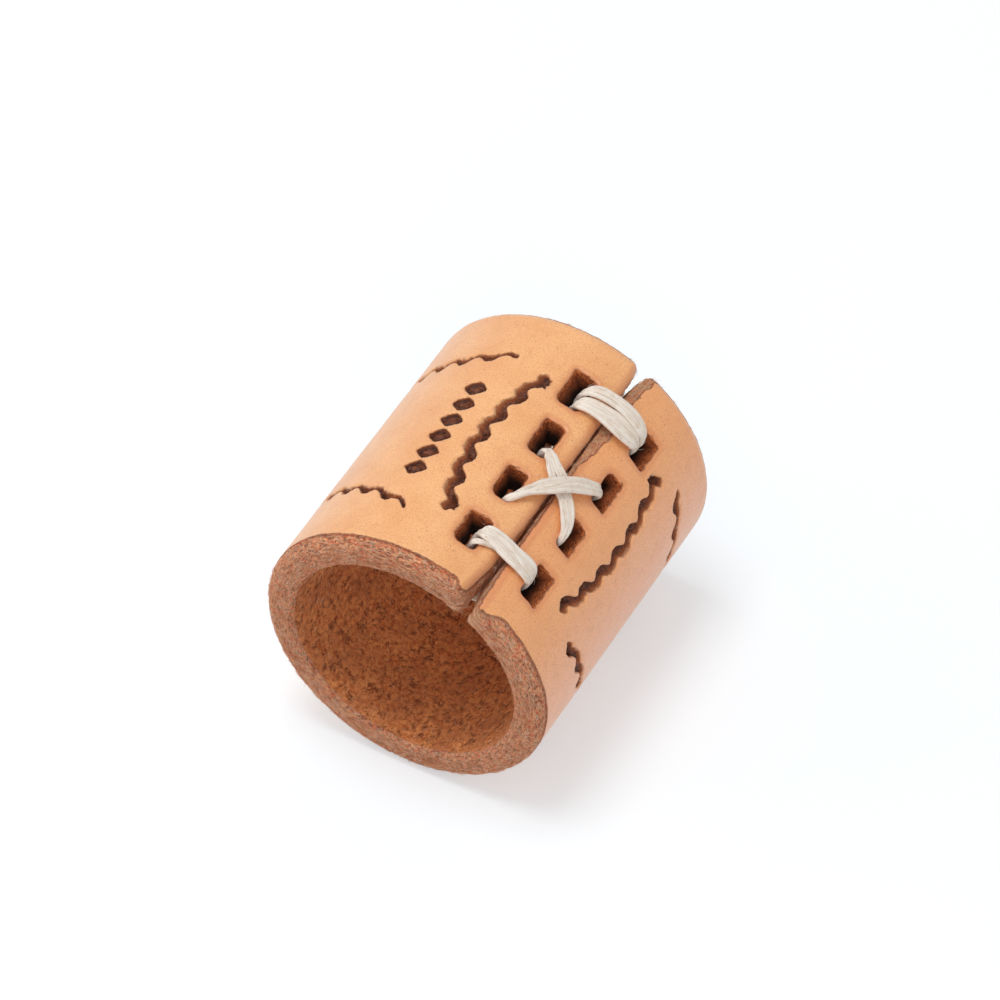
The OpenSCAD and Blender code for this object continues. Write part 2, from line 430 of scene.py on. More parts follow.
past_x, past_y, reach, in_corner = into_corner(x, y)
to_end = HALF_WIDTH - np.abs(y)
to_lip = HALF_STRIP - np.abs(x)
rim = np.where(in_corner, corner_radius - reach, np.minimum(to_end, to_lip))
lip_share = smooth_step(-0.9, 0.9, to_end - to_lip)
inward_x = -np.sign(x) * np.where(in_corner, past_x / np.maximum(reach, 1e-9), lip_share)
inward_y = -np.sign(y) * np.where(in_corner, past_y / np.maximum(reach, 1e-9), 1 - lip_share)
end_round = np.where(y < 0, NEAR_ROUND, FAR_ROUND)
lip_round = np.where(x > 0, LEFT_LIP_ROUND, RIGHT_LIP_ROUND)
rounding = end_round + (lip_round - end_round) * lip_share
rounding = np.where(on_flesh, rounding * FLESH_ROUNDING, rounding)
turn = np.clip(rim / rounding, 0, 1) * math.pi / 2
pulled = np.where(rim < rounding, rounding * (1 - np.cos(turn)), rim)
pulled = np.where(in_wall, rim, pulled)
x += inward_x * (pulled - rim)
y += inward_y * (pulled - rim)
drop = np.where(rim < rounding, rounding * (1 - np.sin(turn)), 0)


# %% Press the marks and shape the walls
def skive_width(y):
    """Width in mm of the slanted cut on the right-hand lip. It runs out at the middle of the sleeve."""
    ragged = 1 + 0.3 * flat_noise(np.stack([0 * y, y, 0 * y], 1), 1.1, 14)
    return np.interp(y, [0.5, 2, 5, 8.5, 11, 17], [0.02, 0.3, 0.75, 1.25, 1.0, 1.0]) * ragged


def skive(x, y):
    """Depth in mm of the slanted cut, which bites deeper towards the far end."""
    back = (x + HALF_STRIP) / skive_width(y)
    deepest = np.interp(y, [0.5, 3, 11, 15.5], [0.1, 0.6, 0.8, 0.9])
    step = 0.15 * smooth_step(0.5, 0.42, back) * smooth_step(2, 4, y)
    return np.where(back < 1, deepest * (1 - np.clip(back, 0, 1)) ** 0.8 + step, 0)


def tool_depth(x, y):
    """Depth from 0 to 1 of all tool marks together."""
    return np.maximum.reduce([short_grooves(x, y), long_grooves(x, y), stamps(x, y)])


points = np.stack([x, y, np.zeros(len(x))], 1)
ragged_line = flat_noise(points, 0.55, 1) * 0.05
marks = tool_depth(x + ragged_line, y + flat_noise(points, 0.55, 2) * 0.05)
mark_depth = np.where(stamps(x, y) > 0.02, STAMP_DEPTH, GROOVE_DEPTH)
floor_lumps = 1 + 0.3 * flat_noise(points, 0.45, 3)
mark_cut = np.minimum(marks * mark_depth * floor_lumps, DEEPEST_MARK)
slot_gap = slot_distance(x, y)
outward_x, outward_y = slot_outward(x, y)
soft_side = np.clip(np.clip(outward_x * -np.sign(x), 0, 1) + 0.6 * np.clip(outward_y, 0, 1), 0, 1)
slot_drop = 0.14 * smooth_step(0.24, 0.0, slot_gap) + 0.22 * soft_side * smooth_step(0.45, 0.0, slot_gap)
slot_dish = 0.07 * smooth_step(1.4, 0.1, slot_gap)
waves = 0.05 * flat_noise(points, 5.0, 4) + 0.018 * flat_noise(points, 1.2, 5)
grain_z = -np.maximum(drop, skive(x, y)) - mark_cut - slot_drop - slot_dish + waves
flesh_z = -THICKNESS + drop + 0.1 * smooth_step(0.4, 0.0, slot_gap)
share = np.clip(-z / THICKNESS, 0, 1)
slot_wall = slot_gap < 0.05
wall_top = np.where(slot_wall, -0.21 - 0.22 * soft_side, -np.maximum(rounding, skive(x, y)))
wall_bottom = np.where(slot_wall, -THICKNESS + 0.1, -THICKNESS + rounding * FLESH_ROUNDING)
wall_z = wall_top + (wall_bottom - wall_top) * share
z = np.where(on_grain, grain_z, np.where(on_flesh, flesh_z, wall_z))
move_vertices(leather, np.stack([x, y, z], 1))
print("deepest mark", round(float(mark_cut.max()), 2), "mm")

# %% [markdown]
# ## Lips and slots that have been pulled
# Two more moves belong to the flat strip. The lips were drawn together by the lacing, so the gap is a
# quarter of a millimetre in the far half and opens towards both mouths. At the near mouth the left lip
# was cut at a slant and the right one is undercut. A punched slot closes up with depth: the wall towards
# the seam nearly stays put, and the far wall leans in under the grain.

# %% Draw the lips together and lean the slot walls
LEFT_LIP = ([-17, -15, -12, -9, -6, 12, 15, 17],
            [1.25, 0.95, 0.5, 0.22, 0.14, 0.12, 0.22, 0.5])
RIGHT_LIP = ([-17, -15, -12, -9, -4, -1, 1, 11, 14, 15.8, 17],
             [0.55, 0.5, 0.45, 0.4, 0.36, 0.25, 0.12, 0.12, 0.26, 0.62, 0.85])


def lean(x, y, depth_share):
    """How far in mm, round and along, a point near a slot moves towards the slot's middle."""
    gap = slot_distance(x, y)
    slope_x, slope_y = slot_outward(x, y)
    away = slope_x * -np.sign(x)
    amount = 1.05 * np.maximum(away, 0) ** 2 + 0.1 * np.maximum(-away, 0) ** 2 + 0.45 * slope_y ** 2
    amount = amount * smooth_step(0.1, 0.8, depth_share) * smooth_step(1.5, 0.0, gap)
    return -slope_x * amount, -slope_y * amount


place = vertex_places(leather)
lean_x, lean_y = lean(place[:, 0], place[:, 1], np.clip(-place[:, 2] / THICKNESS, 0, 1))
to_lip = HALF_STRIP - np.abs(place[:, 0])
left = place[:, 0] > 0
lip_line = np.where(left, np.interp(place[:, 1], *LEFT_LIP), np.interp(place[:, 1], *RIGHT_LIP))
wander = 0.05 * flat_noise(place * [0, 1, 0.3], 0.8, 11) + 0.03 * flat_noise(place * [0, 1, 0.5], 0.3, 12)
inward = smooth_step(0.0, 1.0, -place[:, 2] / THICKNESS)
bevel = 1.15 * smooth_step(-8.5, -14, place[:, 1]) * left * inward
undercut = 0.6 * smooth_step(-13, -16.5, place[:, 1]) * ~left * inward
pull = (SEAM_GAP / 2 - lip_line + wander + bevel - undercut) * smooth_step(3.0, 0.0, to_lip)
place[:, 0] += np.where(left, pull, -pull) + lean_x
place[:, 1] += lean_y
move_vertices(leather, place)
print("lips moved by", pull.min().round(2), "to", pull.max().round(2), "mm")

# %% [markdown]
# ## What the materials need to know
# Smooth grain, cut edge and fuzzy flesh are one hide with three faces, and the change between them is
# ragged. So the mesh carries its own notes for one shared material: the flat place of each point, how
# far it belongs to a cut edge, a slot, the skived band or the flesh side, how deep a tool mark presses
# it, which sets the mark's burnish and its painted shade, and where the grain is darker round a slot or
# painted with shade where a lip rounds down into the gap. They are written while the strip is still
# flat, where each is a simple distance.

# %% Attributes
def note(thing, name, values):
    """Writes one number, or one vector, for each vertex."""
    values = np.asarray(values, float)
    kind = "FLOAT_VECTOR" if values.ndim == 2 else "FLOAT"
    layer = thing.data.attributes.new(name, kind, "POINT")
    layer.data.foreach_set("vector" if values.ndim == 2 else "value", values.ravel())


end_width = np.where(y < 0, 1.6 - 0.8 * (x < 0) * smooth_step(3.5, 0.5, to_lip), 0.7)
edge_width = end_width + (0.3 - end_width) * lip_share
cut_edge = smooth_step(1.0, 0.6, rim / edge_width)
back = (x + HALF_STRIP) / skive_width(y)
cut_edge = np.where(on_grain, np.maximum(cut_edge, smooth_step(1.05, 0.85, back) * (y > 0.8)), 1)
torn_end = (x < 0) * smooth_step(2.0, 0.4, to_lip) * smooth_step(-10.5, -13, y)
beside_slot = np.maximum(cut_edge, smooth_step(0.2, 0.0, slot_gap))
cut_edge = np.where(on_grain & (slot_gap < 0.3), beside_slot, cut_edge)
flesh_side = np.where(on_flesh, smooth_step(0.25, 0.8, rim - 0.5 * lip_share), 0.0)
in_slot = smooth_step(0.3, 0.0, slot_gap) * smooth_step(0.0, 0.15, share + slot_wall)
in_slot = np.maximum(in_slot, 0.7 * soft_side * smooth_step(0.42, 0.03, slot_gap))
# Darker, redder grain round each slot, and painted shade where the seam's lips round down into the gap.
slot_tint_and_lip_shade = np.maximum(smooth_step(1.3, 0.1, slot_gap), on_grain * smooth_step(1.5, 0.3, to_lip))
note(leather, "flat_place", np.stack([x, y, z], 1))
note(leather, "cut_edge", cut_edge)
note(leather, "flesh_side", flesh_side)
note(leather, "tool_mark", np.where(on_grain, marks, 0))
note(leather, "slot_wall", in_slot)
note(leather, "slot_tint_and_lip_shade", slot_tint_and_lip_shade)
note(leather, "skived", np.maximum((x < 0) * smooth_step(1.15, 0.95, back) * (y > 0.8), torn_end))

# %% [markdown]
# ## Torn fibres on the walls and the flesh side
# Cut leather is a felt of fibres. Each point of a wall or of the flesh side is pushed along its normal by
# noise of a few sizes, so that the rims and the inside catch light unevenly even before any bump.

# %% Roughen walls and flesh side
place = vertex_places(leather)
normals = rows_of(leather.data.vertices, "normal")
at_end = smooth_step(1.2, 0.6, rim) * (1 - lip_share)
rough = np.where(on_grain, 0.4 * cut_edge, 1.0 - 0.5 * at_end)
fibre_push = (0.085 * flat_noise(place, 0.9, 6) + 0.045 * flat_noise(place, 0.45, 7)
              + 0.03 * flat_noise(place * [0.35, 0.35, 1.6], 0.4, 8))
move_vertices(leather, place + normals * (rough * fibre_push)[:, None])
print("roughened", int((rough > 0.5).sum()), "vertices")

# %% [markdown]
# ## The roll
# Wet leather is bent round a stick until its two short rims meet. The Simple Deform modifier does that:
# the strip is stood on its long rim, bent by its own length over the radius, which keeps the grain side at
# its flat length, and laid down again with the seam turned to its place.

# %% Roll the strip
only(leather)
bpy.ops.object.mode_set(mode="EDIT")
bpy.ops.mesh.select_all(action="SELECT")
bpy.ops.transform.rotate(value=-math.pi / 2, orient_axis="X", center_override=(0, 0, 0))
bpy.ops.object.mode_set(mode="OBJECT")
stood = vertex_places(leather)
print("stood up:", stood.min(0).round(2), stood.max(0).round(2))
bend = leather.modifiers.new("roll", "SIMPLE_DEFORM")
bend.deform_method = "BEND"
bend.deform_axis = "Z"
bend.angle = (stood[:, 0].max() - stood[:, 0].min()) / RADIUS
bpy.ops.object.modifier_apply(modifier=bend.name)

rolled = vertex_places(leather)
print("rolled:", rolled.min(0).round(2), rolled.max(0).round(2))

# %% Lay it down with the seam in its place
only(leather)
bpy.ops.object.mode_set(mode="EDIT")
bpy.ops.mesh.select_all(action="SELECT")
bpy.ops.transform.rotate(value=math.pi / 2, orient_axis="X", center_override=(0, 0, 0))
bpy.ops.transform.translate(value=(0, 0, 2 * RADIUS * MM))
bpy.ops.transform.rotate(value=-(math.pi + SEAM_TURN), orient_axis="Y", center_override=(0, 0, RADIUS * MM))
bpy.ops.object.mode_set(mode="OBJECT")
laid = vertex_places(leather)
print("laid down:", laid.min(0).round(2), laid.max(0).round(2))

only(leather)
bpy.ops.object.shade_smooth_by_angle(angle=math.radians(48))
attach(leather, "root")
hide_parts("leather_sleeve")

# %% [markdown]
# ## Building materials from a few helpers
# A node material is easier to read as a recipe, so each node that the recipes repeat gets a short
# function. Colours are written as seen on screen and turned into the linear values that shaders use.

# %% Node helpers
def linear(red, green, blue):
    """Screen colour from 0 to 255 as linear colour with alpha."""
    parts = [c / 255 for c in (red, green, blue)]
    return tuple(c / 12.92 if c < 0.04045 else ((c + 0.055) / 1.055) ** 2.4 for c in parts) + (1,)


class Recipe:
    """The nodes of a material or a world, with a method for each kind of node that is used."""

    def __init__(self, owner):
        self.owner = owner
        owner.use_nodes = True
        self.nodes = owner.node_tree.nodes
        self.links = owner.node_tree.links

    def fill(self, socket, value):
        """Links another socket to this one, or gives it a number or a colour."""
        if isinstance(value, bpy.types.NodeSocket):
            self.links.new(value, socket)
        else:
            socket.default_value = value

    def add(self, kind, inputs=(), **settings):
        """Adds a node, sets its properties, then fills its inputs with numbers or with other sockets."""
        made = self.nodes.new(kind)
        for key, value in settings.items():
            setattr(made, key, value)
        for key, value in dict(inputs).items():
            self.fill(made.inputs[key], value)
        return made

    def attribute(self, name, output="Fac"):
        return self.add("ShaderNodeAttribute", attribute_name=name).outputs[output]

    def noise(self, places, size, detail=2.0, rough=0.5, warp=0.0):
        """Noise from 0 to 1 whose lumps are about size units of places across."""
        made = self.add("ShaderNodeTexNoise", {"Vector": places, "Scale": 1 / size, "Detail": detail,
                                               "Roughness": rough, "Distortion": warp})
        return made.outputs["Fac"]

    def cells(self, places, size, feature="F1", output="Distance"):
        made = self.add("ShaderNodeTexVoronoi", {"Vector": places, "Scale": 1 / size}, feature=feature)
        return made.outputs[output]

    def scaled(self, places, scale):
        """Places stretched by a different number along each axis."""
        return self.add("ShaderNodeMapping", {"Vector": places, "Scale": scale}).outputs["Vector"]

    def math(self, operation, first, second):
        return self.add("ShaderNodeMath", {0: first, 1: second}, operation=operation).outputs[0]

    def times(self, first, second):
        return self.math("MULTIPLY", first, second)

    def plus(self, first, second):
        return self.math("ADD", first, second)

    def minus(self, first, second):
        return self.math("SUBTRACT", first, second)

    def most(self, first, second):
        return self.math("MAXIMUM", first, second)

    def window(self, value, low, high):
        """0 where value is at low and 1 where it is at high, smooth between them."""
        made = self.add("ShaderNodeMapRange", {"Value": value, "From Min": low, "From Max": high},
                        interpolation_type="SMOOTHSTEP")
        return made.outputs["Result"]

    def blend(self, share, first, second):
        """Mixes two colours by share."""
        return self.add("ShaderNodeMix", {0: share, 6: first, 7: second}, data_type="RGBA").outputs[2]

    def stain(self, colour, share, strength, tint):
        """Lays a screen colour over another where share is 1, as strongly as strength says."""
        return self.blend(self.times(share, strength), colour, linear(*tint))

    def lerp(self, share, first, second):
        """Mixes two numbers by share."""
        made = self.add("ShaderNodeMix", {0: share, 2: first, 3: second}, data_type="FLOAT")
        return made.outputs[0]

    def bump(self, height, distance):
        """A bump whose full height is distance in metres."""
        return self.add("ShaderNodeBump", {"Height": height, "Distance": distance,
                                           "Strength": 1.0}).outputs["Normal"]

    def finish(self, **inputs):
        """Fills the surface shader's inputs with numbers or sockets and returns the material."""
        for key, value in inputs.items():
            self.fill(self.nodes["Principled BSDF"].inputs[key.replace("_", " ")], value)
        return self.owner


# %% [markdown]
# ## Leather
# Undyed vegetable-tanned leather is a warm tan with small pores, faint clouds and a few dark specks, with
# a lighter, pinker band right of the seam that is painted sheen. Its cut edges show brown felted fibre with
# pale threads in it and painted shade in the gaps, and the skived band's pale fibres carry a painted
# highlight. Its flesh side is darker and matt, with painted shade in its pits and pale hairs painted as
# glints. Any wall that a tool or a punch has rubbed is burnt brown, painted darker with depth as shade,
# down to near black inside the slots. The notes on the mesh choose between these, and noise frays each
# border.

# %% Leather material
def grain_colour(r, place):
    """Smooth tan with clouds, pores, specks and a painted sheen band right of the seam. Also returns the
    height of its fine relief.
    """
    clouds = r.noise(place, 7.0, 3, 0.55)
    mottle = r.noise(place, 1.3, 4, 0.6)
    fine = r.noise(place, 0.28, 3, 0.65)
    speckle = r.noise(place, 0.15, 2, 0.6)
    round_strip = r.add("ShaderNodeSeparateXYZ", {0: place}).outputs["X"]
    right_lip = r.window(round_strip, 18 - HALF_STRIP, 6 - HALF_STRIP)
    # Painted sheen: a band right of the seam is made lighter and pinker to stand in for glare on that side.
    right_side_painted_sheen = r.times(r.window(round_strip, 6 - HALF_STRIP, 15 - HALF_STRIP),
                        r.window(round_strip, 36 - HALF_STRIP, 24 - HALF_STRIP))
    pores = r.window(r.cells(place, 0.42), 0.24, 0.06)
    pores = r.times(pores, r.window(r.noise(place, 2.6, 2), 0.4, 0.62))
    specks = r.window(r.cells(place, 1.15), 0.085, 0.03)
    colour = r.blend(r.window(clouds, 0.3, 0.7), linear(239, 171, 110), linear(248, 187, 127))
    colour = r.stain(colour, right_lip, 0.6, (244, 166, 106))
    # painted sheen right of the seam
    colour = r.stain(colour, right_side_painted_sheen, 0.85, (255, 180, 136))
    colour = r.stain(colour, r.window(mottle, 0.45, 0.75), 0.3, (222, 146, 92))
    colour = r.stain(colour, r.window(speckle, 0.48, 0.66), 0.62, (212, 134, 84))
    colour = r.stain(colour, r.window(fine, 0.5, 0.8), 0.3, (206, 134, 86))
    colour = r.stain(colour, pores, 0.35, (176, 104, 66))
    colour = r.stain(colour, specks, 0.6, (110, 60, 40))
    relief = r.plus(r.times(fine, 0.6), r.times(pores, -0.5))
    return colour, relief, mottle


def felt_colour(r, place):
    """A cut edge: short pale fibres over red-brown felt, with painted shade in the gaps between fibres. Also
    returns its relief.
    """
    felt = r.noise(r.scaled(place, (0.55, 0.9, 1.8)), 0.4, 5, 0.75, 1.2)
    pale = r.window(r.noise(r.scaled(place, (0.28, 0.8, 2.2)), 0.22, 3, 0.6, 2.0), 0.52, 0.6)
    # Painted shade: the low gaps between fibres are coloured dark.
    fibre_gap_shade = r.window(r.noise(r.scaled(place, (0.5, 1.0, 1.9)), 0.3, 3, 0.65, 1.6), 0.46, 0.39)
    skived = r.attribute("skived")
    streaks = r.window(r.noise(r.scaled(place, (3.2, 0.6, 1.0)), 0.5, 4, 0.7, 0.8), 0.42, 0.62)
    # Pale torn fibres of the skived band, painted brighter still as a highlight on its slope.
    torn_fibres_and_highlight = r.blend(streaks, linear(240, 140, 86), linear(255, 218, 170))
    gap_shade_share = r.times(fibre_gap_shade, r.lerp(skived, 0.65, 0.15))
    colour = r.blend(r.window(felt, 0.36, 0.62), linear(228, 106, 68), linear(255, 190, 142))
    colour = r.blend(r.times(skived, 0.85), colour, torn_fibres_and_highlight)
    colour = r.blend(pale, colour, linear(255, 214, 182))
    # painted shade in the gaps between fibres, weaker on the skived band
    colour = r.blend(gap_shade_share, colour, linear(116, 46, 26))
    relief = r.plus(r.minus(felt, r.times(fibre_gap_shade, 0.5)), r.times(pale, 0.45))
    return colour, relief, felt


def flesh_colour(r, place):
    """The fuzzy inner side: soft crumbs with painted shade in the pits between them, and a few pale hairs
    painted bright as glints.
    """
    bent = r.add("ShaderNodeVectorMath", {0: place, 1: r.add("ShaderNodeTexNoise", {
        "Vector": place, "Scale": 1.4, "Detail": 3.0}).outputs["Color"]}, operation="ADD").outputs[0]
    crumbs = r.cells(bent, 0.8, "SMOOTH_F1")
    nap = r.noise(place, 0.5, 6, 0.78, 0.6)
    drift = r.noise(place, 4.0, 3, 0.6)
    # Painted shade in the pits between the crumbs.
    pit_shade = r.times(r.window(crumbs, 0.36, 0.66), r.window(nap, 0.6, 0.4))
    # Pale hairs: fibre colour painted brighter as glints of light.
    hairs = r.window(r.noise(r.scaled(place, (1.0, 2.0, 1.0)), 0.3, 4, 0.7, 2.2), 0.6, 0.68)
    colour = r.blend(r.window(nap, 0.38, 0.6), linear(202, 110, 60), linear(255, 172, 106))
    colour = r.stain(colour, r.window(drift, 0.38, 0.66), 0.4, (188, 112, 74))
    colour = r.stain(colour, pit_shade, 0.75, (104, 54, 34))
    colour = r.stain(colour, hairs, 0.75, (250, 218, 188))
    relief = r.minus(nap, r.times(crumbs, 0.9))
    return colour, relief


def leather_material():
    r = Recipe(bpy.data.materials.new("vegetable_tanned_leather"))
    place = r.attribute("flat_place", "Vector")
    mark_note = r.attribute("tool_mark")
    grain, grain_relief, mottle = grain_colour(r, place)
    felt, felt_relief, fibre = felt_colour(r, place)
    flesh, flesh_relief = flesh_colour(r, place)

    frayed = r.times(r.minus(fibre, 0.5), 0.9)
    is_edge = r.window(r.plus(r.attribute("cut_edge"), frayed), 0.35, 0.62)
    is_flesh = r.window(r.plus(r.attribute("flesh_side"), frayed), 0.35, 0.65)
    marked = r.plus(mark_note, r.times(frayed, 0.85))
    is_scorched_and_shaded = r.window(marked, 0.1, 0.34)
    is_burnt_and_shaded = r.window(marked, 0.3, 0.56)
    in_slot = r.window(r.plus(r.attribute("slot_wall"), r.times(frayed, 2.0)), 0.3, 0.6)

    depth = r.times(r.add("ShaderNodeSeparateXYZ", {0: place}).outputs["Z"], -1.0)
    slot_tone = r.blend(r.window(fibre, 0.4, 0.6), linear(136, 58, 26), linear(232, 130, 70))
    # Painted shade: the slot wall darkens to near black with depth into the hole.
    slot_wall_shade = r.window(r.plus(depth, r.times(frayed, 3.0)), 0.6, 1.9)
    slot_tone = r.blend(slot_wall_shade, slot_tone, linear(40, 18, 10))
    # darker round the slots, and painted shade where the lips round into the gap
    slot_tint_and_lip_shade = r.times(r.window(r.attribute("slot_tint_and_lip_shade"), 0.2, 1.0), 0.5)
    tone = r.blend(slot_tint_and_lip_shade, grain, linear(208, 120, 70))
    border = r.times(r.window(r.attribute("cut_edge"), 0.99, 0.7), 0.6)
    tone = r.blend(is_edge, tone, r.blend(border, felt, linear(156, 70, 44)))
    # Tool marks: the burnish's brown, painted darker with depth as shade, mid brown on the slope and near
    # black at the bottom.
    scorched_and_shaded = r.blend(r.window(fibre, 0.35, 0.65), linear(156, 74, 38), linear(220, 128, 74))
    tone = r.blend(is_scorched_and_shaded, tone, scorched_and_shaded)
    burnt_and_shaded = r.blend(r.window(fibre, 0.38, 0.62), linear(58, 26, 15), linear(160, 86, 50))
    tone = r.blend(is_burnt_and_shaded, tone, burnt_and_shaded)
    tone = r.blend(in_slot, tone, slot_tone)
    tone = r.blend(is_flesh, tone, flesh)

    is_rough = r.most(r.most(is_edge, is_scorched_and_shaded), in_slot)
    all_rough = r.most(is_rough, is_flesh)
    gloss = r.lerp(all_rough, r.lerp(mottle, 0.38, 0.55), 0.9)
    relief = r.lerp(is_rough, r.times(grain_relief, 0.2), felt_relief)
    relief = r.lerp(is_flesh, relief, r.times(flesh_relief, 1.3))
    return r.finish(Base_Color=tone, Roughness=gloss, Normal=r.bump(relief, 0.2 * MM),
                    Coat_Weight=r.lerp(is_burnt_and_shaded, r.lerp(all_rough, 0.35, 0.0), 0.4), Coat_Roughness=0.4,
                    Sheen_Weight=r.lerp(all_rough, 0.5, 0.04), Sheen_Roughness=0.4,
                    Sheen_Tint=(1.0, 0.86, 0.8, 1.0),
                    Specular_IOR_Level=r.lerp(all_rough, 0.5, 0.15))


leather.data.materials.clear()
leather.data.materials.append(leather_material())
print("leather has", len(leather.data.materials[0].node_tree.nodes), "nodes")

# %% [markdown]
# ## Thread
# The lacing is one waxed linen thread, doubled, so each pass is a bundle of thin plies. Wax lets them
# slide, so a pass spreads flat where it crosses the seam and closes up again where it dives through a
# slot. A single tube with a bump would look like plastic. Here every ply is its own swept tube with
# ridges along it, and a pass is five of them on a shared route, each with its own slow drift.
# A route is a short list of places on the sleeve: distance round from the seam, distance along, height
# over the grain side, then the bundle's width and thickness there.

# %% Places on the sleeve and smooth routes
def on_sleeve(around, along, height):
    """Places in mm for arrays of distance round from the seam, along the sleeve and height."""
    turn = SEAM_TURN + np.asarray(around) / RADIUS
    reach = RADIUS + np.asarray(height)
    return np.stack((reach * np.sin(turn), np.broadcast_to(along, turn.shape),
                     RADIUS + reach * np.cos(turn)), axis=-1)


def smooth_route(points, step):
    """Rows of a smooth curve through the points, about step mm apart."""
    points = np.array(points, float)
    ends = np.vstack((2 * points[0] - points[1], points, 2 * points[-1] - points[-2]))
    rows = []
    for i in range(1, len(ends) - 2):
        p0, p1, p2, p3 = ends[i - 1:i + 3]
        reach = np.linalg.norm((p2 - p1)[:3])
        pull_in = (p2 - p0) * reach / (reach + np.linalg.norm((p1 - p0)[:3]))
        pull_out = (p3 - p1) * reach / (reach + np.linalg.norm((p3 - p2)[:3]))
        t = np.arange(0, 1, 0.02)[:, None]
        rows.append((2 * t**3 - 3 * t**2 + 1) * p1 + (t**3 - 2 * t**2 + t) * pull_in
                    + (3 * t**2 - 2 * t**3) * p2 + (t**3 - t**2) * pull_out)
    rows = np.vstack(rows + [points[-1:]])
    places = on_sleeve(rows[:, 0], rows[:, 1], rows[:, 2])
    travelled = np.concatenate(([0], np.cumsum(np.linalg.norm(np.diff(places, axis=0), axis=1))))
    even = np.linspace(0, travelled[-1], max(2, round(travelled[-1] / step)))
    return np.stack([np.interp(even, travelled, column) for column in rows.T], axis=1), even


def unit_rows(rows):
    return rows / np.linalg.norm(rows, axis=1)[:, None]


# %% Sweep a bundle of plies
PLY_SIDES = 16
PLY_STEP = 0.13


def slow_wave(travelled, generator, length):
    """A gentle random wave from -1 to 1 along the thread, its bends about length mm apart."""
    waves = [np.sin(travelled * math.tau / (length * scale) + generator.uniform(0, math.tau))
             for scale in (1, 0.61, 1.7)]
    return (waves[0] + 0.5 * waves[1] + 0.6 * waves[2]) / 2.1


def bundle_axes(middle, around, side_angle):
    """Unit rows along a bundle's width and through its thickness, one for each place of its middle."""
    heading = unit_rows(np.gradient(middle, axis=0))
    turn = SEAM_TURN + around / RADIUS
    round_way = np.stack((np.cos(turn), 0 * turn, -np.sin(turn)), axis=1)
    if side_angle is None:
        wide = np.cross(np.cross(round_way, (0, 1, 0)), heading)
    else:
        angle = np.radians(side_angle)
        wide = math.cos(angle) * round_way + math.sin(angle) * np.array((0, 1, 0))
    wide = unit_rows(wide - (wide * heading).sum(1)[:, None] * heading)
    return wide, np.cross(heading, wide)


def ply_rings(core, side_way, up_way, half_wide, half_thick, travelled, phase):
    """Rings of points round one ply, with low ridges that wind along it."""
    around_ply = np.arange(PLY_SIDES) * math.tau / PLY_SIDES
    rings = []
    for ring, here in enumerate(travelled):
        ridge = (0.045 * np.sin(3 * around_ply + 0.45 * here + phase[0])
                 + 0.025 * np.sin(6 * around_ply - 0.3 * here + phase[1])
                 + 0.025 * math.sin(1.9 * here + phase[2]))
        size = 1 + ridge
        rings.append(core[ring] + (size * np.cos(around_ply) * half_wide[ring])[:, None] * side_way[ring]
                     + (size * np.sin(around_ply) * half_thick[ring])[:, None] * up_way[ring])
    return np.vstack(rings)


def ply_faces(ply, travelled):
    """Faces that join the rings of one ply and close its ends, and their places along the thread."""
    faces, uvs = [], []
    first = ply * len(travelled) * PLY_SIDES
    for ring in range(len(travelled) - 1):
        low = first + ring * PLY_SIDES
        high = low + PLY_SIDES
        here, there = travelled[ring], travelled[ring + 1]
        for side in range(PLY_SIDES):
            following = (side + 1) % PLY_SIDES
            faces.append((low + side, low + following, high + following, high + side))
            start, end = ply + side / PLY_SIDES, ply + (side + 1) / PLY_SIDES
            uvs += [(here, start), (here, end), (there, end), (there, start)]
    last = first + (len(travelled) - 1) * PLY_SIDES
    faces.append(tuple(first + side for side in reversed(range(PLY_SIDES))))
    faces.append(tuple(last + side for side in range(PLY_SIDES)))
    uvs += [(0, ply + 0.5)] * (2 * PLY_SIDES)
    return faces, uvs


def new_piece(name, places, faces, material):
    """A smooth object in one material, made from places in mm and faces."""
    mesh = bpy.data.meshes.new(name)
    mesh.from_pydata((places * MM).tolist(), [], faces)
    mesh.shade_smooth()
    piece = bpy.data.objects.new(name, mesh)
    bpy.context.collection.objects.link(piece)
    mesh.materials.append(material)
    return piece


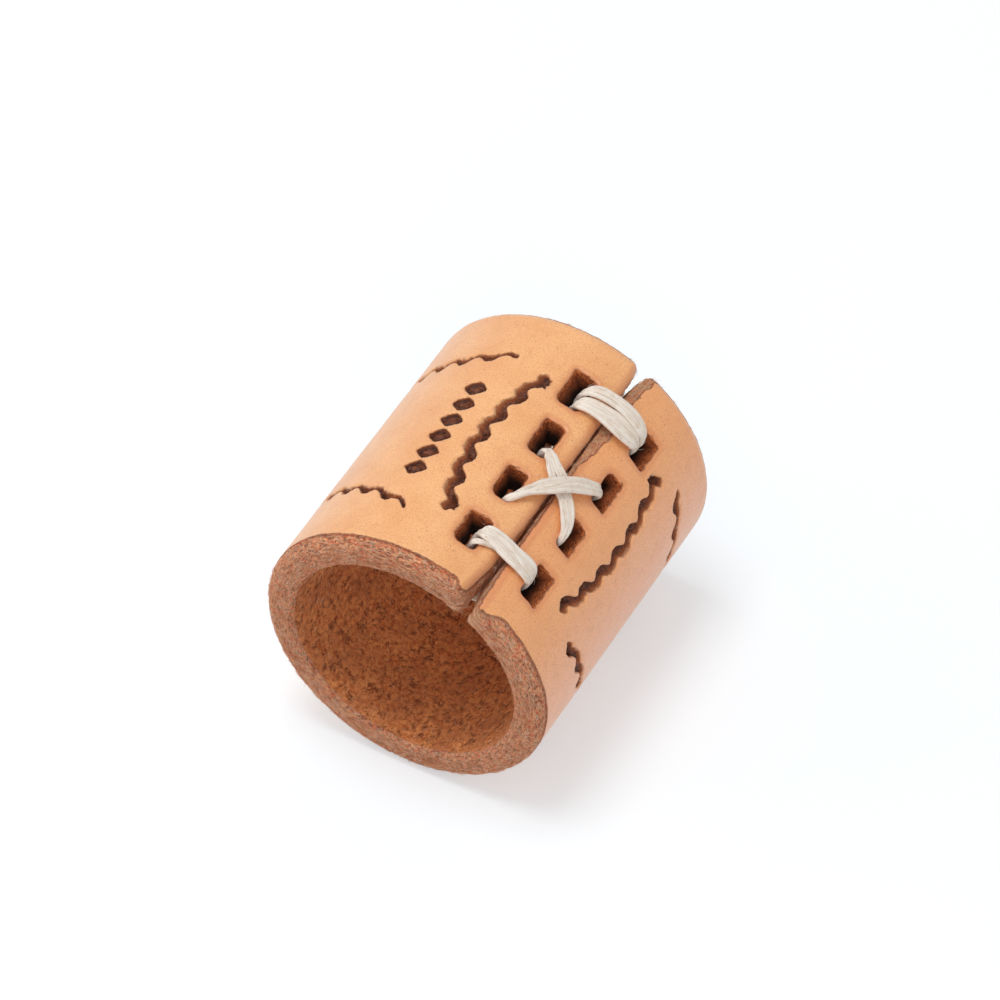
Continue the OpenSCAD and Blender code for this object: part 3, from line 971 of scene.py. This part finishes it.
# %% One bundle
def bundle(name, points, side_angle, plies=5, seed=1, drift=0.2, split=None):
    """A piece made of plies that follow one route.

    Its wide side points along side_angle, counted from round the sleeve towards along it. With None it
    lies flat on the leather, square to the route, which suits a route that never dives.
    """
    generator = np.random.default_rng(seed)
    rows, travelled = smooth_route(points, PLY_STEP)
    around, along, height, width, thick = rows.T
    middle = on_sleeve(around, along, height)
    wide, up = bundle_axes(middle, around, side_angle)
    flat = np.clip((width / thick - 1.15) / 1.6, 0, 1)
    ply_wide = 0.5 * np.maximum(width / plies * 1.55, thick * 0.62)
    ply_thick = 0.5 * np.maximum(thick * 0.8 * flat + thick * 0.6 * (1 - flat), 0.3)
    room_wide = np.maximum(width / 2 - ply_wide, 0)
    room_thick = np.maximum(thick / 2 - ply_thick, 0)

    places, faces, uvs, tints = [], [], [], []
    for ply in range(plies):
        share = (ply + 0.5) / plies * 2 - 1
        spin = ply * 2.4 + travelled * 0.35
        sway = drift * slow_wave(travelled, generator, 6.5)
        lift = slow_wave(travelled, generator, 5.0)
        offset_flat = (share * 1.15 + sway) * room_wide
        if split is not None:
            offset_flat = offset_flat + math.copysign(1, share) * np.interp(travelled, *split)
        sideways = flat * offset_flat + (1 - flat) * (np.cos(spin) * room_wide)
        upward = flat * (0.8 * lift + 0.35 * (1 - share**2)) * room_thick
        upward = upward + (1 - flat) * np.sin(spin) * room_thick
        core = middle + sideways[:, None] * wide + upward[:, None] * up

        tilt = 0.5 * slow_wave(travelled, generator, 7.0) * flat + generator.uniform(-0.2, 0.2)
        side_way = np.cos(tilt)[:, None] * wide + np.sin(tilt)[:, None] * up
        up_way = -np.sin(tilt)[:, None] * wide + np.cos(tilt)[:, None] * up
        phase = generator.uniform(0, math.tau, 3)
        places.append(ply_rings(core, side_way, up_way, ply_wide, ply_thick, travelled, phase))
        more_faces, more_uvs = ply_faces(ply, travelled)
        faces += more_faces
        uvs += more_uvs
        tints += [generator.uniform(0, 1)] * (len(middle) * PLY_SIDES)

    piece = new_piece(name, np.vstack(places), faces, THREAD)
    layer = piece.data.uv_layers.new(name="along_thread")
    layer.data.foreach_set("uv", np.array(uvs).ravel())
    note(piece, "ply_tint", tints)
    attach(piece, "root")
    print(f"{name}: {travelled[-1]:.1f} mm, {len(faces)} faces")
    return piece


# %% Thread material
def thread_material():
    r = Recipe(bpy.data.materials.new("waxed_linen_thread"))
    uv = r.add("ShaderNodeUVMap", uv_map="along_thread").outputs["UV"]
    place = r.add("ShaderNodeTexCoord").outputs["Object"]
    in_mm = r.scaled(place, (1000, 1000, 1000))
    tint = r.attribute("ply_tint")
    fibres = r.noise(r.scaled(uv, (0.28, 5.5, 1)), 0.6, 4, 0.6)
    hairs = r.noise(r.scaled(uv, (0.5, 15.0, 1)), 0.9, 3, 0.6)
    patches = r.noise(in_mm, 1.1, 3)
    flecks = r.window(r.cells(r.scaled(uv, (0.8, 3.0, 1)), 0.9), 0.16, 0.06)
    specks = r.window(r.cells(in_mm, 0.62), 0.1, 0.04)
    base = r.blend(tint, linear(240, 229, 217), linear(224, 209, 194))
    base = r.blend(r.window(fibres, 0.3, 0.46), linear(212, 188, 164), base)
    base = r.stain(base, r.window(hairs, 0.52, 0.72), 0.5, (255, 250, 242))
    base = r.stain(base, r.window(patches, 0.5, 0.72), 0.5, (214, 186, 158))
    base = r.stain(base, flecks, 0.6, (168, 124, 90))
    base = r.stain(base, specks, 0.65, (132, 92, 66))
    height = r.plus(r.times(fibres, 0.6), r.times(hairs, 0.4))
    return r.finish(Base_Color=base, Roughness=0.55, Normal=r.bump(height, 0.03 * MM),
                    Sheen_Weight=0.15)


THREAD = thread_material()

# %% Passes across the seam
near_bar = bundle("near_bar_thread", [
    (-2.1, -12.5, -3.8, 0.9, 0.6), (-2.8, -11.7, -3.78, 1.0, 0.7), (-3.3, -10.8, -3.6, 1.0, 0.8),
    (-3.4, -10.4, -2.9, 0.9, 0.9), (-3.38, -10.1, -1.4, 1.0, 0.85), (-3.25, -10.0, -0.35, 1.3, 0.75),
    (-2.75, -9.95, 0.3, 1.9, 0.6), (-1.7, -10.02, 0.42, 2.3, 0.55), (0.0, -10.12, 0.5, 2.45, 0.55),
    (1.7, -10.2, 0.43, 2.45, 0.55), (2.65, -10.28, 0.25, 2.2, 0.6), (3.2, -10.35, -0.35, 1.6, 0.75),
    (3.45, -10.3, -1.5, 1.0, 0.9), (3.5, -10.1, -2.8, 0.9, 0.9), (3.6, -9.5, -3.6, 1.0, 0.8),
    (3.7, -8.6, -3.8, 1.1, 0.7), (3.65, -7.1, -3.82, 1.1, 0.7),
], 90, seed=11)

near_bar_strand = bundle("near_bar_loose_strand", [
    (-3.2, -11.0, -3.5, 0.5, 0.45), (-3.35, -11.3, -2.4, 0.5, 0.45), (-3.4, -11.4, -0.9, 0.55, 0.45),
    (-3.3, -11.35, -0.1, 0.7, 0.45), (-2.85, -11.2, 0.2, 0.75, 0.4), (-2.1, -10.95, 0.28, 0.6, 0.35),
    (-1.1, -10.6, 0.3, 0.5, 0.3), (-0.3, -10.3, 0.32, 0.45, 0.3),
], 100, plies=2, seed=13)

cross_under = bundle("cross_under_thread", [
    (3.65, -7.4, -3.82, 1.1, 0.7), (3.55, -6.2, -3.78, 1.1, 0.7), (3.5, -5.3, -3.55, 1.0, 0.8),
    (3.5, -4.8, -2.8, 0.9, 0.9), (3.48, -4.55, -1.3, 0.85, 0.85), (3.3, -4.4, -0.3, 0.95, 0.75),
    (3.0, -3.8, 0.25, 1.25, 0.6), (2.4, -2.75, 0.4, 1.6, 0.5), (1.45, -1.7, 0.42, 1.75, 0.45),
    (0.2, -0.75, 0.42, 1.65, 0.45), (-1.2, 0.4, 0.45, 1.6, 0.45), (-2.3, 1.45, 0.38, 1.4, 0.5),
    (-2.95, 1.95, -0.2, 1.1, 0.7), (-3.15, 2.1, -1.3, 0.9, 0.85), (-3.2, 2.3, -2.8, 0.9, 0.9),
    (-3.3, 2.9, -3.55, 1.0, 0.8), (-3.4, 3.8, -3.78, 1.1, 0.7), (-3.5, 5.3, -3.82, 1.1, 0.7),
], 48, seed=23, split=((0, 9.6, 11.4, 13.4, 30), (0, 0, 0.24, 0.02, 0)))

far_bar_low = bundle("far_bar_lower_thread", [
    (-3.5, 5.0, -3.82, 1.1, 0.7), (-3.5, 6.8, -3.8, 1.1, 0.7), (-3.45, 8.0, -3.55, 1.0, 0.8),
    (-3.4, 8.5, -2.7, 0.9, 0.9), (-3.35, 8.6, -1.3, 1.0, 0.85), (-3.2, 8.65, -0.3, 1.4, 0.75),
    (-2.7, 8.6, 0.4, 1.8, 0.65), (-1.6, 8.65, 0.75, 2.1, 0.6), (0.2, 8.75, 0.92, 2.25, 0.6),
    (1.9, 8.9, 0.85, 2.2, 0.6), (3.1, 9.1, 0.58, 1.85, 0.65), (3.8, 9.3, -0.2, 1.3, 0.8),
    (4.0, 9.35, -1.4, 1.0, 0.9), (3.95, 9.3, -2.8, 0.9, 0.9), (3.5, 9.3, -3.6, 1.0, 0.8),
    (2.4, 9.4, -3.85, 1.1, 0.7), (-0.2, 9.75, -3.85, 1.1, 0.7),
], 90, seed=31)

far_bar_high = bundle("far_bar_upper_thread", [
    (0.2, 9.7, -3.85, 1.1, 0.7), (-2.0, 10.1, -3.82, 1.1, 0.7), (-3.1, 10.35, -3.55, 1.0, 0.8),
    (-3.4, 10.35, -2.7, 0.9, 0.9), (-3.4, 10.2, -1.3, 0.95, 0.85), (-3.3, 10.0, -0.2, 1.2, 0.75),
    (-2.8, 10.1, 0.75, 1.35, 0.7), (-1.7, 10.35, 1.2, 1.5, 0.7), (0.2, 10.5, 1.35, 1.6, 0.68),
    (2.0, 10.5, 1.12, 1.65, 0.65), (3.3, 10.4, 0.66, 1.6, 0.7), (3.95, 10.3, -0.2, 1.2, 0.8),
    (4.15, 10.3, -1.4, 1.0, 0.9), (4.3, 10.3, -2.8, 0.9, 0.9), (4.8, 10.1, -3.6, 1.0, 0.8),
    (5.4, 9.3, -3.82, 1.1, 0.7), (5.1, 7.2, -3.85, 1.1, 0.7),
], 90, seed=37)

cross_over = bundle("cross_over_thread", [
    (5.15, 7.5, -3.85, 1.1, 0.7), (4.7, 5.0, -3.8, 1.1, 0.7), (4.1, 3.5, -3.6, 1.0, 0.8),
    (3.85, 2.9, -2.8, 0.9, 0.9), (3.75, 2.6, -1.3, 1.0, 0.85), (3.62, 2.5, -0.3, 1.2, 0.8),
    (3.15, 2.2, 0.4, 1.5, 0.65), (2.2, 1.3, 0.75, 1.7, 0.6), (1.0, 0.1, 1.05, 1.75, 0.6),
    (-0.1, -1.1, 1.2, 1.75, 0.6), (-1.2, -2.5, 1.05, 1.65, 0.6), (-2.1, -3.8, 0.8, 1.4, 0.6),
    (-2.75, -4.7, 0.35, 1.05, 0.65), (-3.15, -5.0, -0.35, 0.8, 0.8), (-3.3, -5.1, -1.5, 0.85, 0.85),
    (-3.35, -5.3, -2.9, 0.9, 0.9), (-3.2, -6.1, -3.65, 1.0, 0.8), (-2.6, -7.1, -3.85, 1.1, 0.7),
    (-0.9, -8.4, -3.95, 1.0, 0.65), (1.1, -9.6, -4.0, 0.9, 0.65), (2.1, -11.0, -4.05, 0.8, 0.6),
    (1.7, -12.4, -4.1, 0.7, 0.55),
], 137, seed=43)

# %% [markdown]
# ## Knot
# Both ends come together inside, under the seam, where they don't scratch. They are tied in a flat square
# knot: two bights, each passed through the other, so that both legs of a bight lie on the same side of
# the other's bend. One bight is written as points, and the other is the same bight turned to face it,
# with over and under swapped.

# %% Square knot and its tails
KNOT_PLACE = (-0.3, -12.85, -4.05)
BIGHT = [(-2.0, 0.42, 0.12), (-1.05, 0.42, 0.32), (0.0, 0.62, -0.3), (0.9, 0.72, 0.06), (1.28, 0.36, 0.3),
         (1.38, 0.0, 0.34), (1.28, -0.36, 0.3), (0.9, -0.72, 0.06), (0.0, -0.62, -0.3), (-1.05, -0.42, 0.32),
         (-1.9, -0.55, 0.12), (-2.6, -1.15, 0.05), (-3.0, -1.75, 0.0)]


def bight(facing):
    """The route of one bight: facing is 1 for the one that opens to the left, -1 for the other."""
    around, along, height = KNOT_PLACE
    return [(around + facing * px, along + py, height + facing * pz, 0.66, 0.5) for px, py, pz in BIGHT]


knot_left = bundle("knot_left_bight", bight(1), None, plies=4, seed=51, drift=0.1)
knot_right = bundle("knot_right_bight", bight(-1), None, plies=4, seed=57, drift=0.1)

passes = (near_bar, near_bar_strand, cross_under, far_bar_low, far_bar_high, cross_over)
for piece in passes:
    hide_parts("lacing_thread")
for piece in (knot_left, knot_right):
    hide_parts("lacing_knot")

# %% [markdown]
# ## Loose fibres
# Cut leather and linen both shed short fibres, and they are what makes an edge look soft. Each fibre is a
# three-sided tube of five rings, sprinkled on the vertices that belong to a cut edge or to the flesh
# side, and lying almost flat. The thread sheds a few longer, paler ones.

# %% Sprinkle fibres
def fibres(name, roots, normals, along_way, lengths, thickness, lift, material, slot, seed):
    """One mesh of short bent tubes that start at roots and lean along along_way, all in mm."""
    generator = np.random.default_rng(seed)
    rings, sides = 5, 3
    count = len(roots)
    lean_way = along_way + generator.normal(0, 0.75, (count, 3))
    lean_way = unit_rows(lean_way - (lean_way * normals).sum(1)[:, None] * normals)
    side_way = np.cross(normals, lean_way)
    curl = generator.normal(0, 0.35, count)
    rise = lift * generator.uniform(0.3, 1.0, count)
    places = np.empty((count, rings, sides, 3))
    for ring in range(rings):
        t = ring / (rings - 1)
        core = (roots + lean_way * (lengths * t)[:, None] + side_way * (curl * lengths * t * t)[:, None]
                + normals * (rise * math.sin(math.pi * (0.15 + 0.75 * t)))[:, None])
        for side in range(sides):
            turn = side * math.tau / sides
            outward = normals * math.cos(turn) + side_way * math.sin(turn)
            places[:, ring, side] = core + outward * (thickness * (1 - 0.6 * t))
    first = np.arange(count)[:, None] * rings * sides
    quads = []
    for low in range(0, (rings - 1) * sides, sides):
        high = low + sides
        for side in range(sides):
            following = (side + 1) % sides
            quads.append(first + np.array([low + side, high + side, high + following, low + following]))
    ends = [first + np.array([0, 1, 2]), first + (rings - 1) * sides + np.array([2, 1, 0])]
    faces = np.vstack(quads).tolist() + np.vstack(ends).tolist()
    piece = new_piece(name, places.reshape(-1, 3), faces, material)
    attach(piece, "root")
    print(name, "has", count, "fibres and", len(faces), "faces")
    return piece


def fibre_material(name, first, second):
    r = Recipe(bpy.data.materials.new(name))
    place = r.scaled(r.add("ShaderNodeTexCoord").outputs["Object"], (1000, 1000, 1000))
    tone = r.blend(r.window(r.noise(place, 0.8, 2), 0.35, 0.65), first, second)
    return r.finish(Base_Color=tone, Roughness=0.6)


EDGE_FIBRES, FLESH_FIBRES, TUFT_FIBRES = 4200, 1500, 16
FIBRES_PER_PASS = 34
laid_normals = rows_of(leather.data.vertices, "normal")
round_sleeve = unit_rows(np.cross((0, 1, 0), laid - [0, 0, RADIUS]))
picker = np.random.default_rng(71)
felted = (cut_edge > 0.85) & (slot_gap > 0.4) & (share < 0.98)
tuft = (cut_edge > 0.85) & (x > HALF_STRIP - 2.4) & (y < 0.7 - HALF_WIDTH) & (share > 0.7)
edge_roots = picker.choice(np.flatnonzero(felted), EDGE_FIBRES, replace=False)
flesh_roots = picker.choice(np.flatnonzero(on_flesh & (slot_gap > 0.4)), FLESH_FIBRES, replace=False)
tuft_roots = picker.choice(np.flatnonzero(tuft), TUFT_FIBRES, replace=False)
chosen = np.concatenate((edge_roots, flesh_roots, tuft_roots))
fibre_lengths = picker.uniform(0.25, 0.8, len(chosen))
fibre_lengths[-TUFT_FIBRES:] *= 2.2
leather_fibres = fibres(
    "leather_fibres", laid[chosen], laid_normals[chosen], round_sleeve[chosen],
    fibre_lengths, 0.026, 0.08,
    fibre_material("leather_fibre", linear(250, 206, 170), linear(206, 134, 92)), "leather", 73)
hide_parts("leather_sleeve")

thread_roots, thread_normals, thread_ways = [], [], []
for piece in passes:
    spots = vertex_places(piece)
    out = np.hypot(spots[:, 0], spots[:, 2] - RADIUS) - RADIUS
    outer = np.flatnonzero((out > 0.2) & (out < 1.9))
    picked = picker.choice(outer, min(FIBRES_PER_PASS, len(outer)), replace=False)
    thread_roots.append(spots[picked])
    thread_normals.append(rows_of(piece.data.vertices, "normal")[picked])
    further = np.minimum(picked + PLY_SIDES, len(spots) - 1)
    thread_ways.append(unit_rows(spots[further] - spots[picked] + 1e-6))
thread_fibres = fibres(
    "thread_fibres", np.vstack(thread_roots), np.vstack(thread_normals), np.vstack(thread_ways),
    picker.uniform(0.4, 1.3, sum(len(group) for group in thread_roots)), 0.018, 0.16,
    fibre_material("linen_fibre", linear(240, 232, 220), linear(222, 210, 194)), "waxed_thread", 79)
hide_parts("lacing_thread")

# %% [markdown]
# ## Floor, light and background
# A pale floor and a white world keep attention on the leather. The key lamp hangs almost overhead, a
# little to the left, so the shadow stays short. A wide lamp low on the left lights that side and sends the
# soft shadow to the right, and one in front lights the near mouth. The camera sees the floor brighter than
# it is lit, which turns it white away from the shadow.

# %% Floor and lamps
FLOOR_GLOW = 0.41
SKY_FOR_LIGHT, SKY_FOR_CAMERA = 0.46, 1.0


def seen_directly(r):
    """A socket that is 1 for rays from the camera, from a gloss or through glass, and 0 for light."""
    rays = r.add("ShaderNodeLightPath").outputs
    seen = r.most(rays["Is Camera Ray"], rays["Is Glossy Ray"])
    return r.most(seen, rays["Is Transmission Ray"])


def pale_floor():
    """Pale for the light that bounces off it, and a white that keeps a soft grey shadow for the eye."""
    r = Recipe(bpy.data.materials.new("pale_floor"))
    seen = seen_directly(r)
    pale = r.blend(seen, (0.8, 0.8, 0.8, 1), (0.61, 0.645, 0.665, 1))
    r.finish(Base_Color=pale, Roughness=0.8, Specular_IOR_Level=0.0)
    strength = r.times(seen, FLOOR_GLOW)
    glow = r.add("ShaderNodeEmission", {"Color": (1, 1.025, 1.055, 1), "Strength": strength}).outputs[0]
    surface = r.nodes["Principled BSDF"].outputs[0]
    both = r.add("ShaderNodeAddShader", {0: surface, 1: glow}).outputs[0]
    r.fill(r.nodes["Material Output"].inputs["Surface"], both)
    return r.owner


bpy.ops.object.select_all(action="DESELECT")
bpy.ops.mesh.primitive_plane_add(size=4, location=(0, 0, 0))
floor = bpy.context.object
floor.name = "floor"
floor.data.materials.append(pale_floor())


def soft_lamp(name, place, size, power):
    """A square area lamp at place, turned to the sleeve."""
    bpy.ops.object.light_add(type="AREA", location=place)
    lamp = bpy.context.object
    lamp.name = name
    lamp.data.size = size
    lamp.data.energy = power
    lamp.rotation_euler = (axis_point - Vector(place)).to_track_quat("-Z", "Y").to_euler()
    return lamp


soft_lamp("key_lamp", (-0.11, -0.04, 0.69), size=0.28, power=2.0)
soft_lamp("left_lamp", (-0.62, -0.2, 0.26), size=0.6, power=1.15)
soft_lamp("front_lamp", (0.36, -0.6, 0.38), size=0.6, power=1.2)

world = bpy.data.worlds.new("white_world")
bpy.context.scene.world = world
sky_recipe = Recipe(world)
sky = sky_recipe.nodes["Background"]
sky.inputs["Color"].default_value = (1, 1, 1, 1)
level = sky_recipe.add("ShaderNodeMapRange", {
    "Value": seen_directly(sky_recipe), "To Min": SKY_FOR_LIGHT, "To Max": SKY_FOR_CAMERA})
sky_recipe.fill(sky.inputs["Strength"], level.outputs["Result"])
bpy.context.scene.view_settings.view_transform = "Standard"
